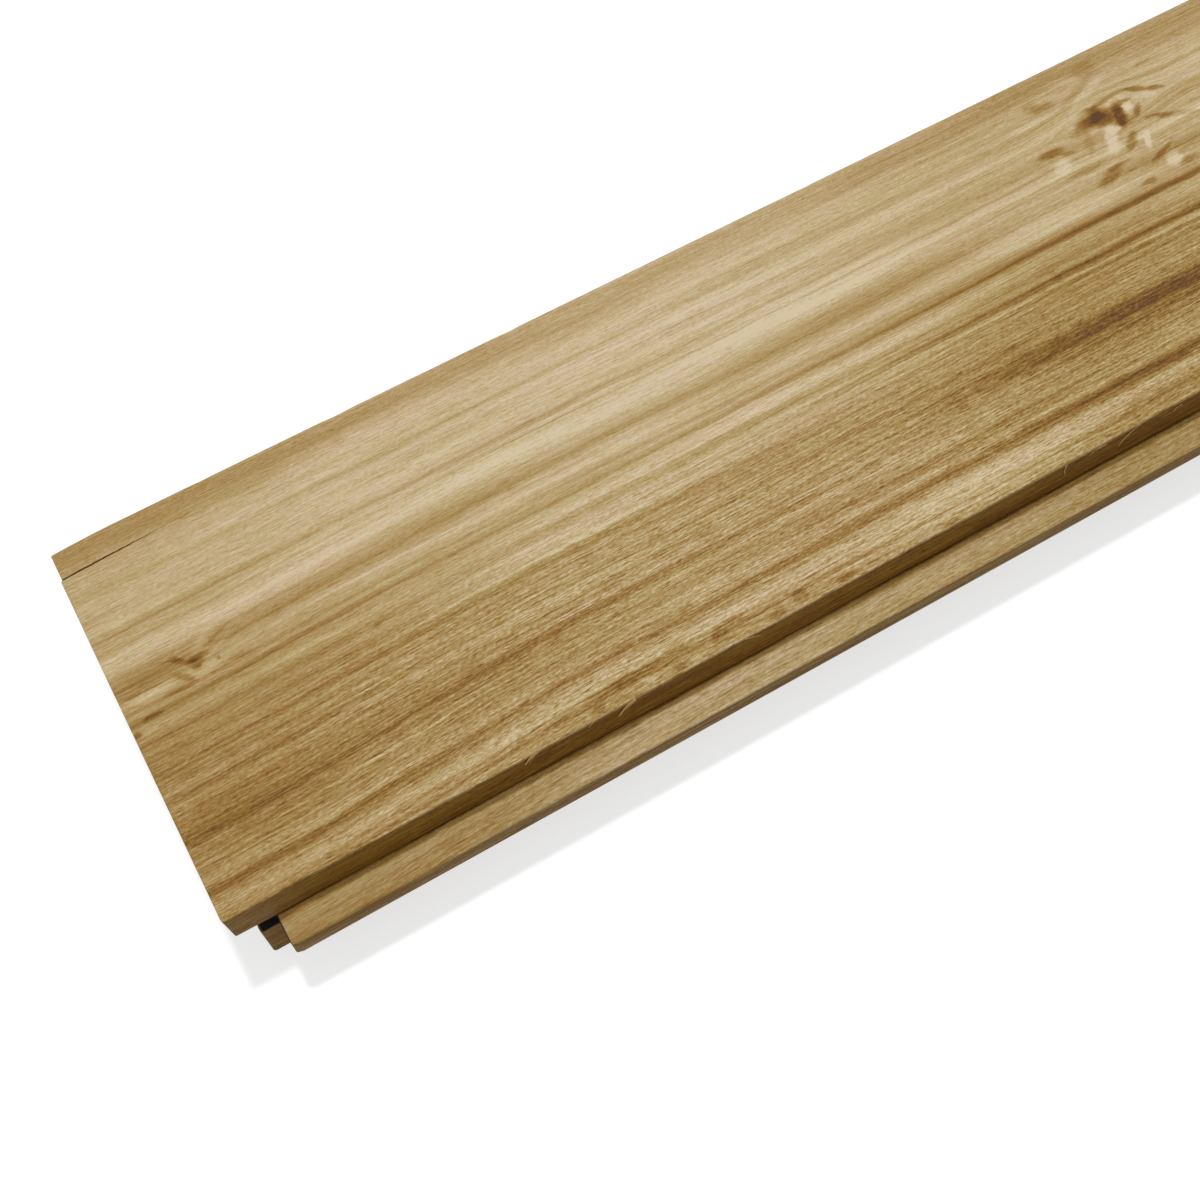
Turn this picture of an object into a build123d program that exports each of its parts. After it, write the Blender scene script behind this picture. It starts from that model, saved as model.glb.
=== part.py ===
"""Solid hardwood floorboard: one strip of timber with a tongue and a groove on its long edges and on its ends.

The board is one piece of wood. It is shaped as a mill shapes it, in two passes that meet at the corners:
the long pass runs the side tongue, the side groove and the back channels along the grain, and the end pass
cuts the end groove and the end tongue across it. Where the end groove crosses the side tongue it takes the
tongue away, and where the side groove crosses the end tongue it does the same.

Frame, in millimetres: +X along the grain, from the end with the groove to the end with the tongue; +Y across
the board, from the side tongue to the side groove; +Z up. The underside is at Z = 0 and the origin is below
the middle of the whole outline, tongues included.
"""

from build123d import *
import os

# Face and thickness
FACE_LENGTH = 900.0
FACE_WIDTH = 80.0
THICKNESS = 22.0

# Tongues, with the same wear layer above them on all four edges
WEAR_LAYER = 7.3
TONGUE_THICKNESS = 4.6
SIDE_TONGUE_REACH = 6.2
END_TONGUE_REACH = 6.8
TONGUE_TOP_ROUND = 0.5
TONGUE_BOTTOM_ROUND = 1.1

# Room that a tongue has in its groove
TONGUE_CLEARANCE = 0.1
TONGUE_TIP_CLEARANCE = 0.8
GROOVE_MOUTH_CHAMFER = 0.4

# Below the face the wood stands back, so that the faces of two boards close first
SIDE_UNDERCUT = 0.7
END_BACK_CUT = 0.5
END_LOWER_LIP_SETBACK = 3.8
UNDERSIDE_ARRIS = 0.4

# Shallow channels along the underside, which help the board to lie flat
CHANNEL_COUNT = 4
CHANNEL_WIDTH = 7.0
CHANNEL_DEPTH = 1.6
CHANNEL_ROUND = 1.0
CHANNEL_EDGE_LAND = 12.0

# Places that follow from the sizes
OVERALL_LENGTH = FACE_LENGTH + END_TONGUE_REACH
OVERALL_WIDTH = FACE_WIDTH + SIDE_TONGUE_REACH
GROOVE_END_X = -OVERALL_LENGTH / 2
TONGUE_END_X = GROOVE_END_X + FACE_LENGTH
TONGUE_SIDE_Y = -OVERALL_WIDTH / 2 + SIDE_TONGUE_REACH
GROOVE_SIDE_Y = TONGUE_SIDE_Y + FACE_WIDTH
TONGUE_TOP_Z = THICKNESS - WEAR_LAYER
TONGUE_BOTTOM_Z = TONGUE_TOP_Z - TONGUE_THICKNESS
GROOVE_TOP_Z = TONGUE_TOP_Z + TONGUE_CLEARANCE
GROOVE_BOTTOM_Z = TONGUE_BOTTOM_Z - TONGUE_CLEARANCE
SIDE_GROOVE_DEPTH = SIDE_TONGUE_REACH + TONGUE_TIP_CLEARANCE
END_GROOVE_DEPTH = END_TONGUE_REACH + TONGUE_TIP_CLEARANCE


def block(across_low, across_high, z_low, z_high):
    """A rectangle in a section, given by its edges."""
    middle = ((across_low + across_high) / 2, (z_low + z_high) / 2)
    return Pos(*middle) * Rectangle(across_high - across_low, z_high - z_low)


def tongue(root, tip):
    """A tongue's section, from its root inside the board to its rounded tip."""
    outline = block(min(root, tip), max(root, tip), TONGUE_BOTTOM_Z, TONGUE_TOP_Z)
    for level, radius in ((-1, TONGUE_TOP_ROUND), (0, TONGUE_BOTTOM_ROUND)):
        corners = outline.vertices().group_by(Axis.Y)[level]
        tip_corner = corners.sort_by(lambda corner: abs(corner.X - tip))[0]
        outline = fillet(tip_corner, radius)
    return outline


def mouth_ease(lip_end, lip_z, inwards, outwards):
    """The triangle that eases one lip's edge, where the tongue of the next board enters."""
    corner = (lip_end, lip_z)
    on_lip = (lip_end + inwards * GROOVE_MOUTH_CHAMFER, lip_z)
    on_end = (lip_end, lip_z + outwards * GROOVE_MOUTH_CHAMFER)
    return make_face(Polyline(corner, on_lip, on_end, close=True))


def groove(upper_lip_end, lower_lip_end, bottom):
    """A groove's section, from its open side to its bottom, with both lips eased."""
    inwards = 1 if bottom > upper_lip_end else -1
    slot = block(min(upper_lip_end, bottom), max(upper_lip_end, bottom), GROOVE_BOTTOM_Z, GROOVE_TOP_Z)
    slot += mouth_ease(upper_lip_end, GROOVE_TOP_Z, inwards, 1)
    slot += mouth_ease(lower_lip_end, GROOVE_BOTTOM_Z, inwards, -1)
    return slot


def back_channels():
    """The channels' sections, spread evenly across the underside."""
    first_y = TONGUE_SIDE_Y + CHANNEL_EDGE_LAND + CHANNEL_WIDTH / 2
    last_y = GROOVE_SIDE_Y - CHANNEL_EDGE_LAND - CHANNEL_WIDTH / 2
    pitch = (last_y - first_y) / (CHANNEL_COUNT - 1)
    sections = []
    for number in range(CHANNEL_COUNT):
        y = first_y + number * pitch
        channel = block(y - CHANNEL_WIDTH / 2, y + CHANNEL_WIDTH / 2, -CHANNEL_DEPTH, CHANNEL_DEPTH)
        sections.append(fillet(channel.vertices().group_by(Axis.Y)[-1], CHANNEL_ROUND))
    return sections


def side_section():
    """The section across the grain: tongue on the left, groove on the right."""
    lower_edge = TONGUE_SIDE_Y + SIDE_UNDERCUT
    lower = block(lower_edge, GROOVE_SIDE_Y, 0, TONGUE_TOP_Z)
    section = chamfer(lower.vertices().group_by(Axis.Y)[0], UNDERSIDE_ARRIS)
    section += block(TONGUE_SIDE_Y, GROOVE_SIDE_Y, TONGUE_TOP_Z, THICKNESS)
    section += tongue(lower_edge + TONGUE_BOTTOM_ROUND, TONGUE_SIDE_Y - SIDE_TONGUE_REACH)
    section -= groove(GROOVE_SIDE_Y, GROOVE_SIDE_Y, GROOVE_SIDE_Y - SIDE_GROOVE_DEPTH)
    for channel in back_channels():
        section -= channel
    return section


def end_section():
    """The section along the grain: groove on the left, tongue on the right."""
    upper_lip_end = GROOVE_END_X + END_BACK_CUT
    lower_lip_end = GROOVE_END_X + END_LOWER_LIP_SETBACK
    section = block(lower_lip_end, TONGUE_END_X, 0, THICKNESS)
    face_corner = (GROOVE_END_X, THICKNESS)
    lip_corner = (upper_lip_end, TONGUE_TOP_Z)
    inner_corners = ((lower_lip_end, TONGUE_TOP_Z), (lower_lip_end, THICKNESS))
    section += make_face(Polyline(face_corner, lip_corner, *inner_corners, close=True))
    section += tongue(TONGUE_END_X - TONGUE_BOTTOM_ROUND, TONGUE_END_X + END_TONGUE_REACH)
    section -= groove(upper_lip_end, lower_lip_end, GROOVE_END_X + END_GROOVE_DEPTH)
    return section


def floorboard():
    """The wood that both passes leave standing."""
    long_pass = extrude(Plane.YZ * side_section(), OVERALL_LENGTH / 2, both=True)
    end_pass = extrude(Plane.XZ * end_section(), OVERALL_WIDTH / 2, both=True)
    return long_pass & end_pass


os.makedirs("parts", exist_ok=True)
board = floorboard()
board.label = "floorboard"
export_step(board, "parts/floorboard.step")
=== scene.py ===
"""Looks for a solid hardwood floorboard with a tongue and a groove on its edges and ends.

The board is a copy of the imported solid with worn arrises, a drying split and a few torn fibres, under one
finish of planed, unfinished wood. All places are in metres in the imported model's frame. The grain's own
coordinates are in millimetres: along the board from its grooved end, and across it from its back edge.
"""

import math

import bmesh
import bpy
from bpy.props import FloatProperty, FloatVectorProperty, PointerProperty
from mathutils import Matrix, Vector, noise


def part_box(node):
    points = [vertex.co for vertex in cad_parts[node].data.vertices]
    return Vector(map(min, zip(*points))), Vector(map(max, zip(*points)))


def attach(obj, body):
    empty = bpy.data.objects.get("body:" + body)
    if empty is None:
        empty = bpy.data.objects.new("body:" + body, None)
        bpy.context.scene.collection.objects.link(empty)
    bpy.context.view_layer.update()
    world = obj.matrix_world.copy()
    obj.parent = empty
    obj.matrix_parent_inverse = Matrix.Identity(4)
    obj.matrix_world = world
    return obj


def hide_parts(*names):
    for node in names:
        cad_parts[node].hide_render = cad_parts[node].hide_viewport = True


bl_info = {
    "name": "Hardwood Floorboard",
    "version": (1, 0, 0),
    "blender": (4, 5, 0),
    "location": "View3D > Sidebar > Floorboard",
    "description": "Dresses a tongue and groove floorboard and sets its stage",
    "category": "Add Mesh",
}

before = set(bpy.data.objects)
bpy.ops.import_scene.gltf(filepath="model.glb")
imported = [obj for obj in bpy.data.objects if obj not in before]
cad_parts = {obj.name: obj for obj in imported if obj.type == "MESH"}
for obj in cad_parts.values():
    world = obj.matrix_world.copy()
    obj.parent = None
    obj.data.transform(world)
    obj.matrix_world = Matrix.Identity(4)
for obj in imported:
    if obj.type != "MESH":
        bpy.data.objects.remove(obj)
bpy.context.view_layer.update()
NODE = "floorboard"
LOW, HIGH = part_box(NODE)
FACE_Z = HIGH.z
GROOVED_END_X = LOW.x
BACK_Y = HIGH.y
MM = 0.001
PER_MM = 1000.0

# Sizes of the board's section, in millimetres
FACE_WIDTH = 80.0
WEAR_LAYER = 7.3
TONGUE_THICKNESS = 4.6
TONGUE_CLEARANCE = 0.1
TONGUE_REACH = 6.2
SIDE_UNDERCUT = 0.7
END_GROOVE_DEPTH = 7.6
LOWER_LIP_SETBACK = 3.8
TONGUE_BOTTOM = WEAR_LAYER + TONGUE_THICKNESS
TONGUE_TIP = FACE_WIDTH + TONGUE_REACH

# Places on it, in metres
FRONT_Y = BACK_Y - FACE_WIDTH * MM
ON_FACE_Z = FACE_Z - 0.01 * MM
TONGUE_TOP_Z = FACE_Z - WEAR_LAYER * MM
TONGUE_BOTTOM_Z = FACE_Z - TONGUE_BOTTOM * MM
TONGUE_START_X = GROOVED_END_X + END_GROOVE_DEPTH * MM
LOWER_LIP_X = GROOVED_END_X + LOWER_LIP_SETBACK * MM
UNDERCUT_Y = FRONT_Y + SIDE_UNDERCUT * MM

# The drying split: how far from the back edge it starts and ends, and how far in the strip behind it ends
SPLIT_END_ACROSS = 6.5 * MM
SPLIT_TIP_ACROSS = 5.4 * MM
SPLIT_END_RECESS = 0.3 * MM

# The back edge's wear at the grooved end: how far it reaches, and how deep it is there
CHIP_REACH = 12.0 * MM
CHIP_DEPTH = 0.5 * MM

BLACK = (0.0, 0.0, 0.0, 1.0)
WHITE = (1.0, 1.0, 1.0, 1.0)


def linear(red, green, blue):
    """A colour read as 0 to 255 on a screen, as the shader's own linear colour."""
    channels = []
    for level in (red, green, blue):
        share = level / 255
        channels.append(share / 12.92 if share < 0.04045 else ((share + 0.055) / 1.055) ** 2.4)
    return (*channels, 1.0)


# Tones of the wood's five colours. A tone is the green of a screen colour, from 0 to 1.
TONES = (0.20, 0.345, 0.48, 0.61, 0.735)


class FloorboardWood(bpy.types.PropertyGroup):
    """Colours of the wood, from the darkest mark to the palest band, and the tints of its painted shade and
    painted light.
    """

    knot: FloatVectorProperty(
        name="Knot", description="The heart of a knot", subtype="COLOR", size=4, default=linear(84, 50, 12)
    )
    streak: FloatVectorProperty(
        name="Streak", description="Dark streaks", subtype="COLOR", size=4, default=linear(128, 87, 24)
    )
    brown: FloatVectorProperty(
        name="Brown wood", description="The denser rings", subtype="COLOR", size=4, default=linear(154, 122, 66)
    )
    tan: FloatVectorProperty(
        name="Tan wood", description="The wood between the rings", subtype="COLOR", size=4,
        default=linear(180, 155, 112),
    )
    pale: FloatVectorProperty(
        name="Pale wood", description="The lightest bands", subtype="COLOR", size=4,
        default=linear(206, 187, 158),
    )
    yellow_tint: FloatVectorProperty(
        name="Yellow tint", description="Tint of the yellower rings", subtype="COLOR", size=4,
        default=(0.96, 1.0, 0.92, 1.0),
    )
    pink_tint: FloatVectorProperty(
        name="Pink tint", description="Tint of the pinker rings", subtype="COLOR", size=4,
        default=(0.985, 0.985, 1.0, 1.0),
    )
    # Painted shade: a dark, warm tint laid on every upright face, where the overhead light does not fall
    upright_shade_tint: FloatVectorProperty(
        name="Shaded upright faces", description="Painted shade on the upright faces", subtype="COLOR", size=4,
        default=(0.505, 0.34, 0.055, 1.0),
    )
    # Painted light: a warm tint for light thrown back into the tongue's root, also laid on the arris highlight
    painted_light_tint: FloatVectorProperty(
        name="Tongue root", description="Tint of the corner between the tongue and the edge above it",
        subtype="COLOR", size=4, default=(1.0, 0.80, 0.42, 1.0),
    )

    def ramp(self):
        """Each colour at the tone that it has."""
        colours = (self.knot, self.streak, self.brown, self.tan, self.pale)
        return tuple(zip(TONES, colours))


class FloorboardWear(bpy.types.PropertyGroup):
    """Sizes of the marks left by drying and milling."""

    arris: FloatProperty(
        name="Arris", description="Width of the eased edges", subtype="DISTANCE", default=0.2 * MM
    )
    edge_wander: FloatProperty(
        name="Edge wander", description="How far torn grain pulls the front edge in", subtype="DISTANCE",
        default=0.34 * MM,
    )
    corner: FloatProperty(
        name="Corner", description="Radius of the worn upright corners", subtype="DISTANCE", default=0.6 * MM
    )
    split_length: FloatProperty(
        name="Split length", description="Length of the drying split", subtype="DISTANCE", default=24.0 * MM
    )
    split_depth: FloatProperty(
        name="Split depth", description="Depth of the split at the board's end", subtype="DISTANCE",
        default=2.4 * MM,
    )
    split_mouth: FloatProperty(
        name="Split mouth", description="Width of the split at the board's end", subtype="DISTANCE",
        default=0.42 * MM,
    )


class FloorboardStage(bpy.types.PropertyGroup):
    """Strengths of the lights."""

    key: FloatProperty(name="Key light", description="Strength of the light from overhead", default=1.89)
    sky: FloatProperty(name="Soft light", description="Strength of the light from all round", default=0.50)


def settings():
    """What holds the board's sizes and colours."""
    return bpy.context.scene


# Finish of the wood


class Value:
    """One output in a node tree. Sums, differences and products of outputs add Math nodes."""

    def __init__(self, finish, socket):
        self.finish = finish
        self.socket = socket

    def math(self, operation, *others):
        inputs = dict(enumerate((self, *others)))
        return self.finish.node("ShaderNodeMath", {"operation": operation}, inputs)

    def __add__(self, other):
        return self.math("ADD", other)

    def __mul__(self, other):
        return self.math("MULTIPLY", other)

    def __sub__(self, other):
        return self.math("SUBTRACT", other)

    def __truediv__(self, other):
        return self.math("DIVIDE", other)

    def __rsub__(self, other):
        return self * -1.0 + other

    def __abs__(self):
        return self.math("ABSOLUTE")

    def __pow__(self, exponent):
        return self.math("POWER", exponent)

    __radd__ = __add__
    __rmul__ = __mul__


class Finish:
    """The expressions that colour a material, or the world."""

    def __init__(self, owner, shader="Principled BSDF"):
        owner.use_nodes = True
        self.owner = owner
        self.tree = owner.node_tree
        self.surface = self.tree.nodes[shader]

    def node(self, kind, choices=None, inputs=None, output=0):
        """Adds a node. Its choices are set first, then each input's value or link."""
        made = self.tree.nodes.new(kind)
        for name, choice in (choices or {}).items():
            if name == "stops":
                self.set_stops(made.color_ramp, choice)
            else:
                setattr(made, name, choice)
        for name, value in (inputs or {}).items():
            self.feed(made.inputs[name], value)
        return Value(self, made.outputs[output])

    def feed(self, socket, value):
        if isinstance(value, Value):
            self.tree.links.new(value.socket, socket)
        else:
            socket.default_value = value

    def set_stops(self, ramp, stops):
        while len(ramp.elements) < len(stops):
            ramp.elements.new(1.0)
        for element, (place, colour) in zip(ramp.elements, stops):
            element.position = place
            element.color = colour

    def parts(self, vector):
        """The three numbers of a vector."""
        outputs = self.node("ShaderNodeSeparateXYZ", None, {"Vector": vector}).socket.node.outputs
        return [Value(self, outputs[number]) for number in range(3)]

    def step(self, value, start, end, top=1.0):
        """0 at start and top at end, with a soft passage. Start may lie above end."""
        inputs = {"Value": value, "From Min": start, "From Max": end, "To Max": top}
        return self.node("ShaderNodeMapRange", {"interpolation_type": "SMOOTHSTEP"}, inputs)

    def total(self, values):
        """The sum of several values, each added as soon as it is made."""
        values = iter(values)
        return sum(values, next(values))

    def hump(self, value, middle, reach, top=1.0):
        """Top at the middle and 0 from reach on either side of it."""
        return self.step(abs(value - middle), reach, 0.0, top)

    def marks(self, place, rows):
        """Soft ovals on the face, each with its change of tone in its middle and nothing at its rim."""
        lays = {}
        for lay, (turn, stretch) in LAYS.items():
            inputs = {"Rotation": (0.0, 0.0, math.radians(turn)), "Scale": (stretch, 1.0, 1.0)}
            lays[lay] = self.node("ShaderNodeMapping", {"vector_type": "TEXTURE"}, {"Vector": place, **inputs})
        for x, y, lay, size, change in rows:
            turn, stretch = LAYS[lay]
            middle = Matrix.Rotation(math.radians(-turn), 3, "Z") @ Vector((x, y, 0.0))
            middle.x /= stretch
            away = self.node("ShaderNodeVectorMath", {"operation": "DISTANCE"}, {0: lays[lay], 1: middle}, 1)
            yield self.step(away, size * 1.25, size * 0.4, change)

    def seen(self):
        """1 where the ray comes from the camera, or by way of a gloss or a glass, and 0 for other light."""
        rays = self.node("ShaderNodeLightPath").socket.node
        kinds = ("Is Camera Ray", "Is Glossy Ray", "Is Transmission Ray")
        return self.total(Value(self, rays.outputs[kind]) for kind in kinds)

    def point(self, x, y, z=0.0):
        return self.node("ShaderNodeCombineXYZ", None, {"X": x, "Y": y, "Z": z})

    def noise(self, place, detail=2.0, roughness=0.5):
        inputs = {"Vector": place, "Scale": 1.0, "Detail": detail, "Roughness": roughness}
        return self.node("ShaderNodeTexNoise", None, inputs)

    def mix(self, share, first, second, blend="MIX"):
        """Mixes two colours."""
        choices = {"data_type": "RGBA", "blend_type": blend, "clamp_factor": True}
        return self.node("ShaderNodeMix", choices, {0: share, 6: first, 7: second}, output=2)


# Bands that stand out on the face: place across it, reach to either side, and change of tone
BANDS = (
    (2.6, 5.6, -0.105),
    (12.3, 0.9, -0.040),
    (14.6, 2.2, 0.030),
    (18.3, 1.8, 0.025),
    (21.0, 1.6, -0.050),
    (20.9, 0.5, -0.035),
    (23.2, 0.5, -0.050),
    (26.0, 3.0, 0.070),
    (29.1, 0.5, -0.025),
    (31.0, 1.9, -0.070),
    (31.4, 0.5, -0.040),
    (34.4, 1.9, 0.060),
    (36.5, 0.6, -0.060),
    (38.5, 1.0, -0.120),
    (41.0, 1.8, 0.040),
    (43.2, 1.2, -0.060),
    (45.0, 0.9, 0.050),
    (47.5, 1.5, 0.060),
    (49.4, 0.9, -0.040),
    (54.7, 0.9, -0.045),
    (56.0, 0.7, 0.045),
    (61.8, 1.4, -0.085),
    (67.0, 0.5, -0.050),
    (69.2, 1.6, 0.030),
    (71.2, 1.5, -0.110),
    (74.3, 1.9, 0.100),
    (77.0, 0.9, -0.090),
)

# Bands of the same kind that come in some way along the board
FAR_BANDS = (
    (19.0, 2.4, -0.075),
    (26.4, 1.6, -0.090),
    (38.0, 1.3, -0.170),
    (45.3, 1.5, -0.270),
    (47.9, 0.8, -0.150),
    (58.6, 4.4, -0.200),
    (59.5, 1.8, -0.080),
    (63.3, 0.9, -0.080),
    (70.8, 1.9, -0.120),
)

# Knots: place along and across, reach along and across, and how far they push the rings aside
KNOTS = ((16.0, 33.9, 8.0, 5.0, 0.9), (221.0, 16.8, 19.0, 10.5, 3.0))

# Ways that a mark can lie: turn towards the front in degrees, and how far it is drawn out
LAYS = {
    "round": (0, 1.4),
    "oval": (0, 3.0),
    "long": (0, 7.0),
    "streak": (0, 14.0),
    "rising": (-22, 3.0),
    "rising_long": (-22, 7.0),
    "falling": (22, 3.0),
    "falling_long": (22, 7.0),
    "leaning": (-42, 1.4),
    "leaning_long": (-42, 3.0),
    "dropping": (45, 3.0),
    "upright": (-62, 3.0),
    "crack": (-2.6, 36.0),
}

# Broad patches of the face, and the split's far end and the torn grain along the edges: place along and across,
# lay, half height, and change of tone
PATCHES = (
    (10.0, 47.4, "streak", 4.39, -0.085),
    (8.0, 35.6, "streak", 2.40, -0.045),
    (40.0, 41.5, "streak", 2.93, -0.030),
    (30.0, 63.0, "long", 7.46, -0.045),
    (148.0, 61.5, "long", 4.31, 0.075),
    (150.0, 76.4, "streak", 2.61, 0.090),
    (145.0, 1.0, "streak", 4.01, 0.050),
    (145.0, 23.0, "long", 4.66, 0.045),
    (196.0, 32.6, "long", 3.66, 0.070),
    (196.0, 41.2, "streak", 1.97, -0.050),
    (194.0, 46.6, "streak", 1.41, -0.060),
)
TORN_GRAIN = (
    # The first mark is painted shade along the open split; the next two carry the split on past its tip as a
    # faint line
    (9.0, 6.1, "crack", 0.24, -0.200),
    (24.0, 5.5, "long", 0.30, -0.100),
    (37.0, 6.5, "long", 0.40, -0.060),
    (76.0, 76.2, "long", 1.14, -0.110),
    (69.2, 78.4, "leaning", 1.10, -0.090),
    (84.6, 78.7, "round", 1.16, -0.110),
    (85.4, 75.3, "oval", 0.75, -0.080),
    (93.4, 77.0, "leaning", 1.56, -0.100),
    (97.0, 75.6, "oval", 0.78, -0.110),
    (103.8, 78.9, "oval", 0.73, -0.140),
    (108.9, 77.8, "round", 1.31, -0.090),
    (117.6, 78.9, "oval", 0.81, -0.150),
    (78.8, 78.3, "falling", 0.73, 0.080),
    (88.0, 78.7, "oval", 0.65, 0.070),
    (106.3, 77.8, "round", 1.01, 0.060),
    (139.0, 79.2, "oval", 0.66, -0.110),
    (179.6, 78.6, "oval", 0.28, -0.160),
)

# Marks of the small knot
SMALL_KNOT_MARKS = (
    (14.9, 33.7, "oval", 0.72, -0.190),
    (14.6, 34.7, "round", 1.15, -0.140),
    (14.2, 35.6, "round", 0.70, -0.120),
    (12.0, 32.7, "dropping", 0.68, -0.120),
    (10.4, 31.9, "falling_long", 0.38, -0.080),
    (6.0, 33.0, "long", 1.31, -0.035),
    (4.5, 35.1, "streak", 0.34, -0.130),
    (5.5, 36.3, "oval", 1.28, 0.070),
    (11.7, 36.2, "dropping", 0.83, -0.130),
    (10.6, 38.1, "long", 0.62, -0.090),
    (15.0, 37.3, "rising", 0.97, 0.050),
    (19.6, 31.4, "rising_long", 0.49, -0.090),
    (16.6, 31.4, "leaning_long", 1.10, 0.060),
    (19.4, 33.5, "rising_long", 0.37, 0.050),
    (18.4, 35.8, "round", 0.45, -0.140),
    (21.5, 37.3, "long", 0.50, -0.080),
    (4.4, 40.3, "oval", 0.73, -0.130),
    (0.4, 42.4, "round", 0.76, -0.200),
)

# Marks of the large knot and of the grain that it disturbs
LARGE_KNOT_MARKS = (
    (217.0, 16.3, "rising", 1.94, -0.220),
    (219.4, 15.0, "leaning", 1.43, -0.120),
    (219.6, 17.8, "round", 2.08, -0.230),
    (223.2, 18.2, "upright", 1.35, -0.260),
    (222.8, 20.1, "round", 1.54, -0.160),
    (225.6, 17.4, "leaning", 1.10, 0.220),
    (226.6, 19.4, "leaning_long", 0.79, -0.220),
    (226.4, 15.6, "falling", 0.55, -0.120),
    (220.5, 13.7, "long", 0.62, -0.130),
    (225.6, 13.2, "long", 0.62, -0.160),
    (229.8, 14.2, "falling", 0.80, -0.240),
    (233.4, 16.0, "falling", 0.80, -0.220),
    (224.0, 14.5, "long", 0.63, 0.070),
    (230.8, 16.8, "falling", 0.95, 0.060),
    (219.8, 20.9, "round", 1.10, 0.140),
    (217.8, 22.6, "upright", 1.50, 0.150),
    (220.6, 17.0, "oval", 1.90, -0.180),
    (213.4, 21.4, "upright", 1.17, -0.060),
    (220.6, 25.2, "leaning_long", 1.06, -0.200),
    (223.4, 26.8, "upright", 0.85, 0.150),
    (229.5, 22.6, "falling_long", 0.45, -0.100),
    (205.4, 23.4, "leaning", 1.90, 0.100),
    (205.4, 19.4, "oval", 1.12, -0.200),
    (208.2, 21.0, "falling", 0.73, -0.110),
    (208.6, 26.6, "long", 0.76, -0.100),
    (211.4, 30.6, "rising", 1.35, -0.150),
    (214.0, 29.0, "long", 0.58, -0.140),
    (216.6, 35.6, "oval", 0.73, -0.160),
    (226.8, 35.0, "oval", 0.89, -0.140),
    (224.5, 33.4, "leaning", 1.70, 0.150),
    (224.0, 30.7, "rising_long", 0.62, -0.140),
    (232.0, 23.8, "falling_long", 0.88, -0.100),
    (211.6, 8.4, "oval", 1.12, -0.150),
    (209.6, 6.8, "round", 1.41, -0.060),
    (219.5, 8.6, "rising_long", 0.89, -0.060),
    (224.8, 4.4, "round", 2.31, -0.050),
    (219.0, 4.8, "falling", 1.40, 0.050),
    (222.0, 9.6, "rising_long", 1.00, 0.060),
    (206.0, 10.9, "long", 0.89, 0.060),
    (236.0, 9.2, "long", 0.33, -0.100),
)


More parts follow.
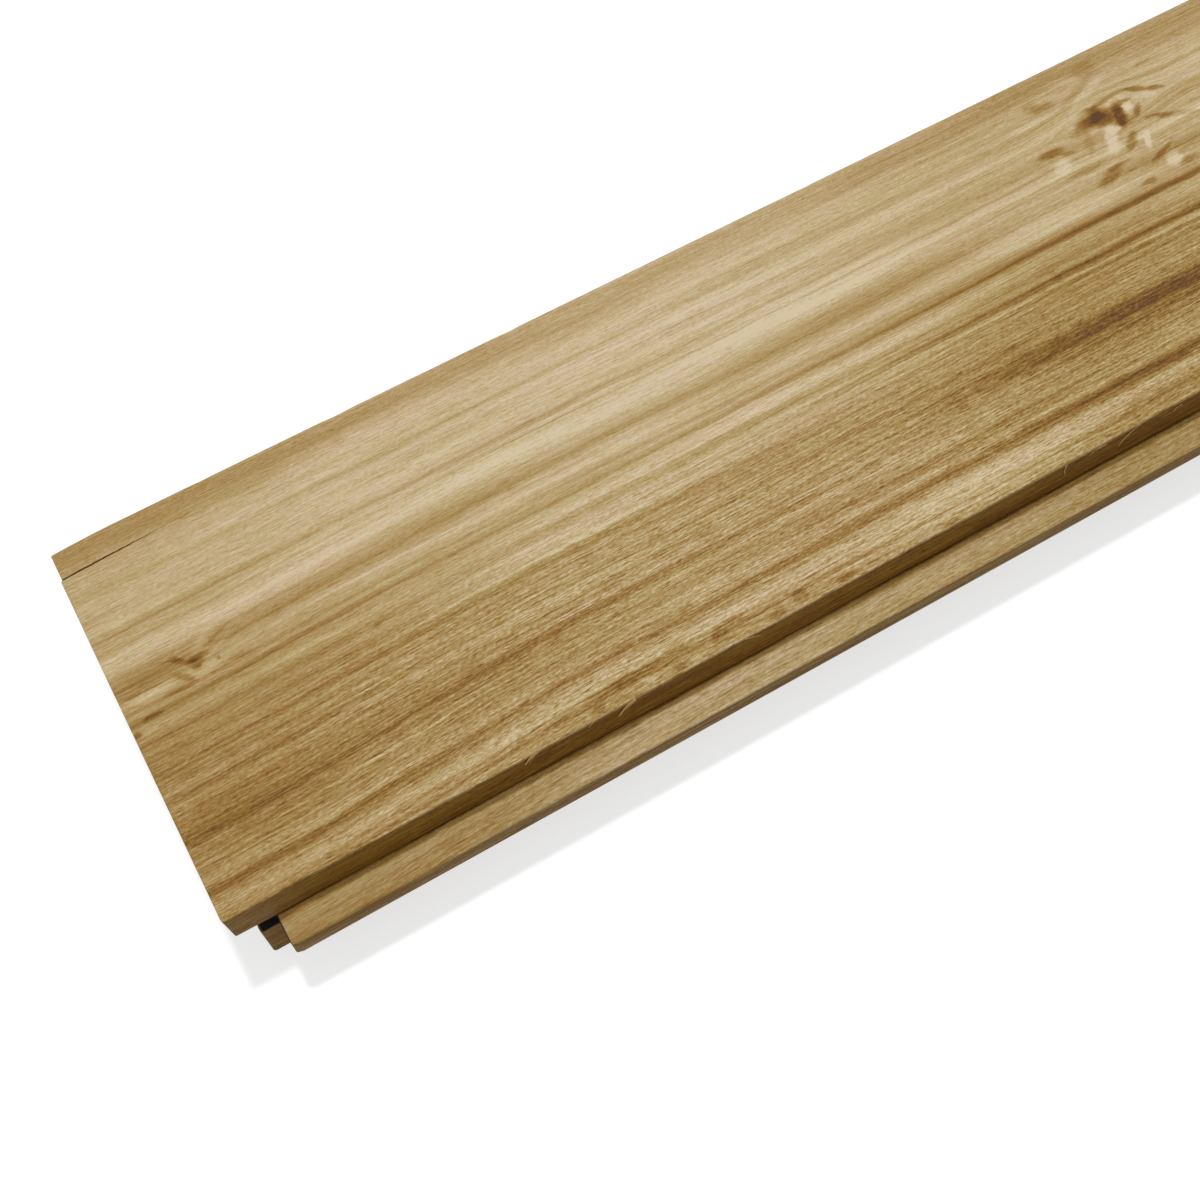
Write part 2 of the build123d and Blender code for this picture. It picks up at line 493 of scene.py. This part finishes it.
class PlanedWood(Finish):
    """Planed, unfinished hardwood with straight grain and two knots, with painted shade on its upright faces,
    at the tongue's root and in the end groove, and painted light beside the root and along the front arris.
    """

    def __init__(self):
        super().__init__(bpy.data.materials.new("planed_hardwood"))
        coordinates = self.node("ShaderNodeTexCoord").socket.node
        x, y, z = self.parts(Value(self, coordinates.outputs["Object"]))
        facing_up = self.parts(Value(self, coordinates.outputs["Normal"]))[2]
        self.along = (x - GROOVED_END_X) * PER_MM
        self.across = (BACK_Y - y) * PER_MM
        self.below = (FACE_Z - z) * PER_MM
        self.curl = self.grain(self.across, 0.07, 0.2)
        self.ring = self.bent_rings()
        self.bands = self.grain(self.ring, 0.022, 0.5, roughness=0.6)
        self.lines = self.grain(self.ring, 0.018, 2.0, detail=3.0, roughness=0.62)

        # 1 in each part of the board that looks different, and 0 elsewhere
        self.far = self.step(self.along, 118.0, 192.0)
        # 1 on the upright faces, below a thin strip under the face: where the painted shade goes
        self.upright_faces = self.step(abs(facing_up), 0.55, 0.25) * self.step(self.below, 0.2, 0.9)
        by_edge = self.step(self.across, FACE_WIDTH - 0.4, FACE_WIDTH - 0.1)
        # A painted highlight along the top of the front side, just under the face's edge
        self.arris = self.hump(self.below, 0.25, 0.4) * by_edge
        self.tongue = self.step(self.across, FACE_WIDTH + 0.2, FACE_WIDTH + 0.5)
        self.tongue_tip = self.step(self.across, TONGUE_TIP - 0.6, TONGUE_TIP - 0.2)

    def grain(self, over, along, across, detail=2.0, roughness=0.5, start=0.0):
        """Noise from -0.5 to 0.5, with so many waves to the millimetre along the board and across it."""
        length = self.along * along
        place = self.point(length + start if start else length, over * across, self.below * across)
        return self.noise(place, detail, roughness) - 0.5

    def bent_rings(self):
        """The rings lean through the thickness, wander along the board and bend round the knots."""
        slow = self.grain(self.across, 0.012, 0.03, detail=1.0)
        ring = self.across + self.below * 0.5 + slow * 1.2 + self.curl * 0.9
        bend = self.step(self.across, 8.0, 30.0, 1.7) + self.step(self.across, 48.0, 72.0, 1.5)
        ring = ring - self.step(self.along, 78.0, 0.0) * bend
        for middle, height, reach, rise, push in KNOTS:
            off = self.across - height
            place = self.point((self.along - middle) / reach, off / rise)
            apart = self.node("ShaderNodeVectorMath", {"operation": "LENGTH"}, {0: place}, 1)
            ring = ring - off / (off * off + 0.6) ** 0.5 * self.step(apart, 1.0, 0.0, push)
        return ring

    def tone(self):
        """How pale the wood is at each place."""
        tone = 0.664 - self.step(self.across, 26.0, 31.0, 0.052) - self.step(self.across, 44.0, 52.0, 0.072)
        tone = tone - self.step(self.along, 80.0, 0.0, 0.065) - self.far * 0.045
        tone = tone + self.total(self.hump(self.ring, *band) for band in BANDS)
        tone = tone + self.total(self.hump(self.ring, *band) for band in FAR_BANDS) * self.far
        tone = tone + self.grain(self.ring, 0.006, 0.14) * 0.10 + self.bands * 0.20
        return tone + self.fine_grain() + self.edge_tone() + self.strokes() + self.patches()

    def fine_grain(self):
        """Fibres, flecks and open pores, which show more towards the front and less on the tongue."""
        fibres = self.grain(self.ring, 0.25, 3.3, roughness=0.6)
        pores = self.grain(self.ring, 0.28, 3.6, detail=1.0, start=40.0)
        place = self.point(
            self.along * 1.1 + self.across * 0.9, self.across * 3.1 - self.along * 0.1, self.below * 3.1
        )
        fine = self.lines * 0.52 + fibres * 0.42 + (self.noise(place) - 0.5) * 0.48
        fine = fine - self.step(pores, 0.11, 0.18, 0.14) + self.step(pores, -0.11, -0.18, 0.06)
        front = self.step(self.across, 34.0, 62.0) * self.step(self.along, 0.0, 60.0, 0.25)
        return fine * (front + self.step(self.across, 34.0, 58.0, 0.30) + 0.45 - self.tongue * 0.35)

    def edge_tone(self):
        """The upright sides are streaked and paler at the near end, a painted highlight runs along the top of
        the front side under the arris, painted light lifts the shaded strip of the tongue beside its root, and
        the tongue pales.
        """
        upright_faces = self.upright_faces * (self.step(self.along, 80.0, 20.0, 0.08) + self.bands * 0.2 + self.lines * 0.3)
        # Painted light that brightens the tongue's shaded strip beside its root
        root = self.hump(self.across, FACE_WIDTH + 0.65, 0.5) * self.step(self.below, 7.0, 7.2, 0.14)
        return upright_faces + root + self.arris * 0.07 + self.tongue * self.step(self.along, 30.0, 75.0, 0.04)

    def strokes(self):
        """Slanting strokes across the dark bands at the far end."""
        slant = self.along * 0.5 + self.across * 0.7 + self.curl * 4.0 + 2.0
        stroke = self.noise(self.point(slant, self.across * 0.3, self.below * 0.3)) - 0.5
        dark_bands = self.hump(self.ring, 58.6, 5.0, 0.22) + self.hump(self.ring, 70.6, 2.0, 0.08)
        return stroke * dark_bands * self.far

    def patches(self):
        """Patches, torn grain and knots, ragged at their rims."""
        ragged = self.grain(self.across, 0.45, 0.7)
        torn = self.grain(self.across, 0.45, 0.7, start=30.0)
        place = self.point(self.along + ragged * 1.6, self.across + torn * 1.1)
        return self.total(self.marks(place, PATCHES + TORN_GRAIN + SMALL_KNOT_MARKS + LARGE_KNOT_MARKS))

    def colour(self, colours):
        """The wood's colour by its tone, tinted by its rings, with painted shade on its upright faces, at the
        tongue's root and in the end groove, and painted light beside the root and on the arris.
        """
        colour = self.node("ShaderNodeValToRGB", {"stops": colours.ramp()}, {"Fac": self.tone()})
        hue = self.grain(self.ring, 0.02, 0.45, start=70.0)
        hue = hue + self.step(self.across, 9.0, 5.0, 0.12) - self.step(self.across, 36.0, 46.0, 0.12) * self.far
        tint = self.mix(self.step(hue, -0.2, 0.2), colours.yellow_tint, colours.pink_tint)
        colour = self.mix(1.0, colour, tint, "MULTIPLY")
        # Less painted shade on the tongue's tip and towards the near end
        less_shade = self.tongue_tip * 0.35 + self.step(self.along, 20.0, 2.0, 0.2)
        colour = self.mix(self.upright_faces * (1.0 - less_shade), colour, colours.upright_shade_tint, "MULTIPLY")

        # Painted light warms the shaded strip beside the tongue's root and the highlight on the arris; painted
        # shade darkens the corner at the root and the foot of the tongue's tip in thin lines, and blackens the
        # end groove
        root = self.step(self.below, WEAR_LAYER - 0.7, WEAR_LAYER - 0.1)
        root = root * self.step(self.below, WEAR_LAYER + 0.7, WEAR_LAYER + 0.2)
        root = root * self.step(self.along, END_GROOVE_DEPTH - 0.1, END_GROOVE_DEPTH + 0.2)
        painted_light_share = root * self.step(self.across, FACE_WIDTH + 1.6, FACE_WIDTH + 0.9) + self.arris * 0.35
        colour = self.mix(painted_light_share, colour, colours.painted_light_tint, "MULTIPLY")
        # Painted shade: a thin dark line in the corner at the tongue's root, and another at the foot of the
        # tongue's tip
        shade_lines = root * self.step(self.across, FACE_WIDTH + 0.35, FACE_WIDTH + 0.05, 0.6)
        shade_lines = shade_lines + self.tongue_tip * self.step(self.below, TONGUE_BOTTOM - 0.5, TONGUE_BOTTOM - 0.15, 0.6)
        dark = self.node("ShaderNodeMath", {"operation": "MAXIMUM"}, {0: self.end_groove() * 0.97, 1: shade_lines})
        return self.mix(dark, colour, BLACK)

    def end_groove(self):
        """1 inside the end groove, which is painted black as shade."""
        top, bottom = WEAR_LAYER - TONGUE_CLEARANCE, TONGUE_BOTTOM + TONGUE_CLEARANCE
        between = self.step(self.below, top - 0.1, top + 0.05)
        between = between * self.step(self.below, bottom + 0.3, bottom + 0.15)
        deep = self.step(self.along, END_GROOVE_DEPTH + 0.3, END_GROOVE_DEPTH + 0.1)
        return between * self.step(self.along, 0.1, 0.8) * deep


def wood():
    """The finish of the board."""
    w = PlanedWood()
    w.feed(w.surface.inputs["Base Color"], w.colour(settings().floorboard_wood))
    w.surface.inputs["Roughness"].default_value = 0.7
    w.surface.inputs["Specular IOR Level"].default_value = 0.25
    relief = w.grain(w.across, 0.25, 3.3, roughness=0.6)
    bump = w.node("ShaderNodeBump", None, {"Strength": 0.25, "Distance": 0.0002, "Height": relief})
    w.feed(w.surface.inputs["Normal"], bump)
    return w.owner


def pale_fibre():
    """Loose fibres of the same wood, paler than the edge that they stand off from."""
    w = Finish(bpy.data.materials.new("torn_hardwood_fibre"))
    coordinates = w.node("ShaderNodeTexCoord").socket.node
    x, y, z = w.parts(Value(w, coordinates.outputs["Object"]))
    grain = w.noise(w.point(x * 900.0, y * 5000.0, z * 5000.0))
    colour = w.mix(w.step(grain, 0.3, 0.7), linear(190, 146, 82), linear(222, 186, 124))
    w.feed(w.surface.inputs["Base Color"], colour)
    w.surface.inputs["Roughness"].default_value = 0.75
    w.surface.inputs["Specular IOR Level"].default_value = 0.25
    return w.owner


# Pieces


def finished(name, bm, material, smooth_angle):
    """Turns a mesh in the making into a piece of the board."""
    for vert in bm.verts:
        vert.co = [min(max(place, low), high) for place, low, high in zip(vert.co, LOW, HIGH)]
    mesh = bpy.data.meshes.new(name)
    bm.to_mesh(mesh)
    bm.free()
    mesh.materials.clear()
    mesh.materials.append(material)
    if mesh.has_custom_normals:
        mesh.attributes.remove(mesh.attributes["custom_normal"])
    piece = bpy.data.objects.new(name, mesh)
    bpy.context.scene.collection.objects.link(piece)
    mesh.shade_smooth()
    mesh.set_sharp_from_angle(angle=smooth_angle)
    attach(piece, "root")
    return piece


def whole_copy(node):
    """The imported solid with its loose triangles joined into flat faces."""
    bm = bmesh.new()
    bm.from_mesh(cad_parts[node].data)
    bmesh.ops.remove_doubles(bm, verts=bm.verts, dist=1e-6)
    bmesh.ops.dissolve_limit(bm, angle_limit=math.radians(0.5), verts=bm.verts, edges=bm.edges)
    return bm


def cut(bm, point, normal, faces):
    """Cuts faces by a plane and gives all their parts back."""
    edges = dict.fromkeys(edge for face in faces for edge in face.edges)
    verts = dict.fromkeys(vert for face in faces for vert in face.verts)
    made = bmesh.ops.bisect_plane(bm, geom=[*faces, *edges, *verts], plane_co=point, plane_no=normal, dist=1e-7)
    return [item for item in made["geom"] if isinstance(item, bmesh.types.BMFace)]


def within(faces, low, high=(1, 1, 1)):
    """The faces whose every corner lies between two corners of a box."""
    slack = 1e-6
    return [
        face for face in faces
        if all(low[n] - slack < vert.co[n] < high[n] + slack for vert in face.verts for n in range(3))
    ]


def slice_along(bm, faces, start, end, spacing):
    """Cuts faces across the grain at an even spacing."""
    x = start + spacing
    while x < end:
        faces = [face for face in cut(bm, (x, 0, 0), (1, 0, 0), faces) if face.calc_center_median().x > x]
        x += spacing


def ease_edges(bm, width):
    """Takes the sharpness off the long outward edges and those of the worn face."""
    long_edges = [edge for edge in bm.edges if edge.calc_length() > MM and len(edge.link_faces) == 2]
    sharp = [edge for edge in long_edges if edge.calc_face_angle_signed() > math.radians(50)]
    bmesh.ops.bevel(
        bm, geom=sharp, offset=width, offset_type="OFFSET", segments=2, profile=0.5, affect="EDGES",
        clamp_overlap=False, material=-1,
    )


def wear_long_edge(bm, edge_y, inwards, reach, spacing):
    """Lets one long edge of the face wander, and pulls it in where the grain tore."""
    strip = 1.5 * MM
    moved = 0.4 * MM
    inner = edge_y + inwards * strip
    cut(bm, (0, inner, 0), (0, 1, 0), within(bm.faces, (-1, -1, ON_FACE_Z)))
    low, high = sorted((edge_y - inwards * MM, edge_y + inwards * 0.01 * MM))
    side = within(bm.faces, (-1, low, TONGUE_TOP_Z - 0.2 * MM), (1, high, FACE_Z - 0.05 * MM))
    cut(bm, (0, 0, FACE_Z - strip), (0, 0, 1), side)
    low, high = sorted((edge_y - inwards * MM, inner))
    rim = within(bm.faces, (-1, low, FACE_Z - strip), (1, high, FACE_Z))
    slice_along(bm, rim, GROOVED_END_X, HIGH.x, spacing)
    for vert in bm.verts:
        if vert.co.z < FACE_Z - moved or abs(vert.co.y - edge_y) > moved:
            continue
        along = vert.co.x / MM
        slow = noise.noise(Vector((along * 0.11, 5.0 + inwards, 0.0)))
        quick = noise.noise(Vector((along * 0.7, 9.0 + inwards, 0.0)))
        torn = max(0.0, slow + 0.5 * quick - 0.15)
        vert.co.y += inwards * reach * (0.12 * abs(quick) + torn)
        vert.co.z -= reach * 0.5 * torn


def chip_back_corner(bm):
    """Wears the back edge away towards the grooved end."""
    for vert in bm.verts:
        near = 1.0 - (vert.co.x - GROOVED_END_X) / CHIP_REACH
        if near > 0 and vert.co.y > BACK_Y - 0.5 * MM and vert.co.z > FACE_Z - 1.0 * MM:
            vert.co.y -= CHIP_DEPTH * near ** 1.5


def split(bm, wear):
    """Opens the drying split along the grain, near the back edge of the face."""
    beside = 2e-6
    tip = Vector((GROOVED_END_X + wear.split_length, BACK_Y - SPLIT_TIP_ACROSS, FACE_Z))
    cut(bm, tip, (1, 0, 0), within(bm.faces, (-1, -1, ON_FACE_Z)))
    # Each side of the split, and then its middle, whose normal the steps below go by
    for share in (-0.5, 0.5, 0.0):
        mouth = Vector((GROOVED_END_X, BACK_Y - SPLIT_END_ACROSS + share * wear.split_mouth, FACE_Z))
        normal = (mouth - tip).cross(Vector((0, 0, 1))).normalized()
        cut(bm, tip, normal, within(bm.faces, (-1, -1, TONGUE_TOP_Z - 0.7 * MM), (tip.x, 1, 1)))
    halves = [
        face for face in within(bm.faces, (-1, -1, ON_FACE_Z), (tip.x, 1, 1))
        if abs((face.calc_center_median() - tip).dot(normal)) < wear.split_mouth / 2
    ]
    slice_along(bm, halves, GROOVED_END_X, tip.x, 2.0 * MM)
    for vert in bm.verts:
        open_share = (tip.x - vert.co.x) / wear.split_length
        if open_share > 0 and vert.co.z > FACE_Z - 0.3 * MM and abs((vert.co - tip).dot(normal)) < beside:
            vert.co.z -= wear.split_depth * open_share ** 0.6
    for vert in bm.verts:
        if vert.co.x > GROOVED_END_X + 0.3 * MM or vert.co.z < TONGUE_TOP_Z - 0.1 * MM:
            continue
        if (vert.co - tip).dot(normal) * normal.y > beside:
            vert.co.x += SPLIT_END_RECESS


def round_corner(bm, x, y, radius, low, high):
    """Wears round the upright corner that stands out furthest at x and y, from a low to a high level."""
    slack = 0.2 * MM
    middle = Vector((x + radius, y + radius))
    cut(bm, (middle.x, 0, 0), (1, 0, 0), bm.faces[:])
    cut(bm, (0, middle.y, 0), (0, 1, 0), bm.faces[:])
    for vert in bm.verts:
        away = vert.co.xy - middle
        if max(away) < 0 and away.length > radius and low - slack < vert.co.z < high + slack:
            vert.co.xy = middle + away * (radius / away.length)


class FLOORBOARD_OT_board(bpy.types.Operator):
    """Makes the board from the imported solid, with eased edges and a drying split"""

    bl_idname = "floorboard.board"
    bl_label = "Board"

    def execute(self, context):
        wear = settings().floorboard_wear
        bm = whole_copy(NODE)
        ease_edges(bm, wear.arris)
        wear_long_edge(bm, FRONT_Y, 1, wear.edge_wander, 1.0 * MM)
        wear_long_edge(bm, BACK_Y, -1, wear.edge_wander * 0.6, 2.0 * MM)
        chip_back_corner(bm)
        split(bm, wear)
        round_corner(bm, GROOVED_END_X, FRONT_Y, wear.corner, TONGUE_TOP_Z, FACE_Z)
        round_corner(bm, TONGUE_START_X, LOW.y, wear.corner * 2, TONGUE_BOTTOM_Z, TONGUE_TOP_Z)
        round_corner(bm, LOWER_LIP_X, UNDERCUT_Y, wear.corner, LOW.z, TONGUE_BOTTOM_Z)
        board = finished("board_wood", bm, wood(), math.radians(30))
        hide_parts(NODE)
        return {"FINISHED"}


# Torn fibres on the front edge of the face: where each starts along the board and below the face, where it
# ends, how far its end stands off, and the radius of its root, in millimetres
SLIVERS = (
    (56.6, 0.1, 54.0, 1.3, 0.4, 0.40),
    (56.2, 0.7, 54.8, 1.9, 0.3, 0.16),
    (67.7, 0.1, 66.1, 0.4, 0.4, 0.16),
    (75.2, 0.3, 71.6, 1.9, 0.5, 0.45),
    (75.0, 0.9, 73.0, 2.0, 0.2, 0.16),
    (96.5, 0.2, 99.6, 0.9, 0.3, 0.16),
    (163.3, 0.4, 162.7, 2.4, 0.5, 0.18),
    (171.9, 0.9, 167.5, 0.4, 0.5, 0.16),
    (179.4, 0.2, 174.3, 2.4, 0.6, 0.20),
    (188.9, 1.4, 186.3, 1.0, 0.4, 0.16),
    (204.0, 0.2, 200.5, 1.5, 0.5, 0.18),
    (243.0, 0.3, 240.0, 2.0, 0.5, 0.20),
    (310.0, 0.2, 306.0, 1.8, 0.6, 0.20),
    (402.0, 0.4, 399.2, 2.2, 0.4, 0.16),
    (548.0, 0.2, 544.4, 1.2, 0.5, 0.24),
    (690.0, 0.3, 686.5, 2.4, 0.6, 0.20),
    (812.0, 0.2, 809.0, 1.5, 0.4, 0.16),
)

# How deep a fibre's root sits in the side, and how far below the face all the fibres are set
SLIVER_SEAT = 0.05 * MM
SLIVER_DROP = 0.15 * MM


def sliver(bm, start, end, stand_off, root):
    """Adds one fibre, torn loose at its thin end and bent away from the board."""
    fibre = bmesh.new()
    bmesh.ops.create_cone(fibre, segments=5, radius1=root, radius2=root * 0.3, depth=1.0, cap_ends=True)
    long_edges = [edge for edge in fibre.edges if edge.calc_length() > 0.5]
    bmesh.ops.subdivide_edges(fibre, edges=long_edges, cuts=6, use_grid_fill=True)
    run = end - start
    out = Vector((0, -1, 0))
    side = run.cross(out).normalized()
    for vert in fibre.verts:
        share = vert.co.z + 0.5
        bend = out * stand_off * share ** 1.8 + side * stand_off * 0.4 * math.sin(share * 3.0)
        vert.co = start + run * share + side * vert.co.x + out * vert.co.y * 0.5 + bend
    bmesh.ops.recalc_face_normals(fibre, faces=fibre.faces)
    mesh = bpy.data.meshes.new("fibre")
    fibre.to_mesh(mesh)
    fibre.free()
    bm.from_mesh(mesh)
    bpy.data.meshes.remove(mesh)


class FLOORBOARD_OT_slivers(bpy.types.Operator):
    """Adds the fibres that the cutter tore loose along the front edge"""

    bl_idname = "floorboard.slivers"
    bl_label = "Torn fibres"

    def execute(self, context):
        bm = bmesh.new()
        for x, z, end_x, end_z, stand_off, root in SLIVERS:
            start = Vector((GROOVED_END_X + x * MM, FRONT_Y + SLIVER_SEAT, FACE_Z - SLIVER_DROP - z * MM))
            end = Vector((GROOVED_END_X + end_x * MM, FRONT_Y - SLIVER_SEAT, FACE_Z - SLIVER_DROP - end_z * MM))
            sliver(bm, start, end, stand_off * MM, root * MM)
        finished("torn_fibres", bm, pale_fibre(), math.radians(60))
        return {"FINISHED"}


# The way that the overhead light falls
KEY_RAYS = Vector((-0.10, -0.16, -1.0))

# The camera: its place and the place that it looks at, in metres, its roll in degrees, and its lens in
# millimetres
EYE = Vector((-0.430076, -0.151607, 0.271107))
AIM = Vector((-0.373919, -0.017466, 0.022))
ROLL = -7.978
LENS = 50.499

# The floor: how far it reaches, in metres, its colour where the camera sees it, how much it glows there, and
# its colour to all other light
FLOOR_REACH = 6.0
PAPER_SEEN = (0.40, 0.40, 0.40, 1.0)
PAPER_GLOW = (0.68, 0.68, 0.68, 1.0)
PAPER_LIT = (0.30, 0.29, 0.28, 1.0)


class FLOORBOARD_OT_stage(bpy.types.Operator):
    """Sets the floor, the lamps and the camera"""

    bl_idname = "floorboard.stage"
    bl_label = "Stage"

    def execute(self, context):
        stage = settings().floorboard_stage
        self.floor()
        self.lamps(stage)
        self.camera()
        context.scene.view_settings.view_transform = "Standard"
        return {"FINISHED"}

    def floor(self):
        bm = bmesh.new()
        bmesh.ops.create_grid(bm, x_segments=1, y_segments=1, size=FLOOR_REACH)
        mesh = bpy.data.meshes.new("floor")
        bm.to_mesh(mesh)
        bm.free()
        floor = bpy.data.objects.new("floor", mesh)
        bpy.context.scene.collection.objects.link(floor)
        paper = Finish(bpy.data.materials.new("white_paper"))
        seen = paper.seen()
        colour = paper.mix(seen, PAPER_LIT, PAPER_SEEN)
        glow = paper.mix(seen, BLACK, PAPER_GLOW)
        paper.feed(paper.surface.inputs["Base Color"], colour)
        paper.feed(paper.surface.inputs["Emission Color"], glow)
        paper.surface.inputs["Emission Strength"].default_value = 1.0
        paper.surface.inputs["Roughness"].default_value = 1.0
        paper.surface.inputs["Specular IOR Level"].default_value = 0.0
        mesh.materials.append(paper.owner)

    def lamps(self, stage):
        sky = Finish(bpy.data.worlds.new("studio"), "Background")
        bpy.context.scene.world = sky.owner
        sky.surface.inputs["Color"].default_value = WHITE
        sky.feed(sky.surface.inputs["Strength"], sky.seen() * (1.0 - stage.sky) + stage.sky)
        data = bpy.data.lights.new("key", "SUN")
        data.energy = stage.key
        data.angle = math.radians(5.0)
        key = bpy.data.objects.new("key", data)
        bpy.context.scene.collection.objects.link(key)
        key.rotation_euler = KEY_RAYS.to_track_quat("-Z", "Y").to_euler()

    def camera(self):
        data = bpy.data.cameras.new("camera")
        data.lens = LENS
        data.sensor_width = 36.0
        data.clip_start = 0.01
        camera = bpy.data.objects.new("camera", data)
        bpy.context.scene.collection.objects.link(camera)
        turn = (AIM - EYE).to_track_quat("-Z", "Y").to_matrix().to_4x4()
        camera.matrix_world = Matrix.Translation(EYE) @ turn @ Matrix.Rotation(math.radians(ROLL), 4, "Z")
        bpy.context.scene.camera = camera


class FLOORBOARD_PT_panel(bpy.types.Panel):
    """Lists the steps that make the board and its stage"""

    bl_label = "Floorboard"
    bl_idname = "FLOORBOARD_PT_panel"
    bl_space_type = "VIEW_3D"
    bl_region_type = "UI"
    bl_category = "Floorboard"

    def draw(self, context):
        for operator in OPERATORS:
            self.layout.operator(operator.bl_idname)


GROUPS = {
    "floorboard_wood": FloorboardWood,
    "floorboard_wear": FloorboardWear,
    "floorboard_stage": FloorboardStage,
}
OPERATORS = (FLOORBOARD_OT_board, FLOORBOARD_OT_slivers, FLOORBOARD_OT_stage)


def register():
    for name, group in GROUPS.items():
        bpy.utils.register_class(group)
        setattr(bpy.types.Scene, name, PointerProperty(type=group))
    for operator in OPERATORS:
        bpy.utils.register_class(operator)
    bpy.utils.register_class(FLOORBOARD_PT_panel)


def unregister():
    bpy.utils.unregister_class(FLOORBOARD_PT_panel)
    for operator in reversed(OPERATORS):
        bpy.utils.unregister_class(operator)
    for name, group in GROUPS.items():
        delattr(bpy.types.Scene, name)
        bpy.utils.unregister_class(group)


def main():
    register()
    bpy.ops.floorboard.board()
    bpy.ops.floorboard.slivers()
    bpy.ops.floorboard.stage()


if __name__ == "__main__":
    main()
